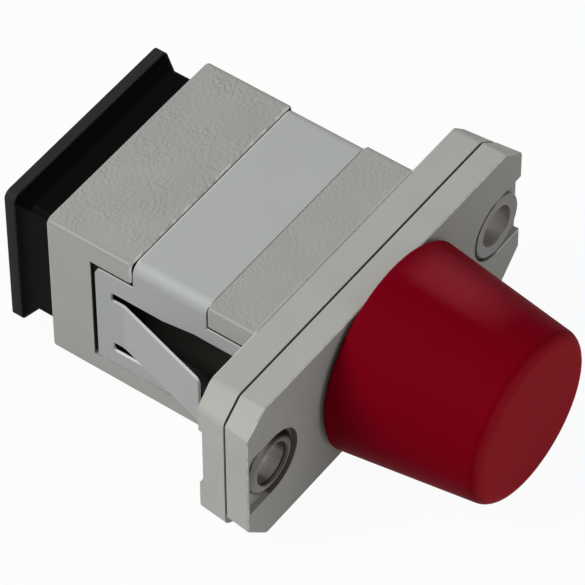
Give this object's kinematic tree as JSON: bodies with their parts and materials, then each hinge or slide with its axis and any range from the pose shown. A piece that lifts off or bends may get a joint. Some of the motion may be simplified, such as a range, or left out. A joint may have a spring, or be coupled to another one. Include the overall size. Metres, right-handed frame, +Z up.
{
  "type": "hybrid fibre adapter",
  "caption": "Flanged fibre-optic bulkhead adapter with a rectangular push-pull port behind, a round threaded port in front, a side panel clip, riveted flange and dust caps.",
  "frame": {"origin": "centre of the flange face that seats on the panel, on the optical axis", "axes": "+X along the flange through the two screw holes, +Y out of the rectangular port, -Y out of the round port, +Z up through the top of the panel clip"},
  "size_m": [0.0218, 0.026, 0.011],
  "materials": {
    "grey_paint": "fine orange-peel powder coat, low sheen",
    "spring_steel": "smooth satin sheet",
    "dark_plastic": "moulded matte",
    "turned_metal": "turned and plated",
    "ceramic": "polished zirconia",
    "eyelet_metal": "dull plated",
    "red_rubber": "soft satin",
    "black_plastic": "moulded satin"
  },
  "bodies": {
    "adapter": {"sc_housing": "grey_paint", "fc_housing": "grey_paint", "panel_clip": "spring_steel", "sc_latch_insert": "dark_plastic", "fc_sleeve_holder": "turned_metal", "split_sleeve": "ceramic", "flange_eyelets": "eyelet_metal"},
    "fc_cap": {"fc_dust_cap": "red_rubber"},
    "sc_cap": {"sc_dust_cap": "black_plastic"}
  },
  "joints": [
    {"name": "fc_cap_pull", "type": "slide", "parent": "adapter", "child": "fc_cap", "axis": [0, -1, 0], "range_m": [0, 0.016]},
    {"name": "sc_cap_pull", "type": "slide", "parent": "adapter", "child": "sc_cap", "axis": [0, 1, 0], "range_m": [0, 0.01]}
  ]
}
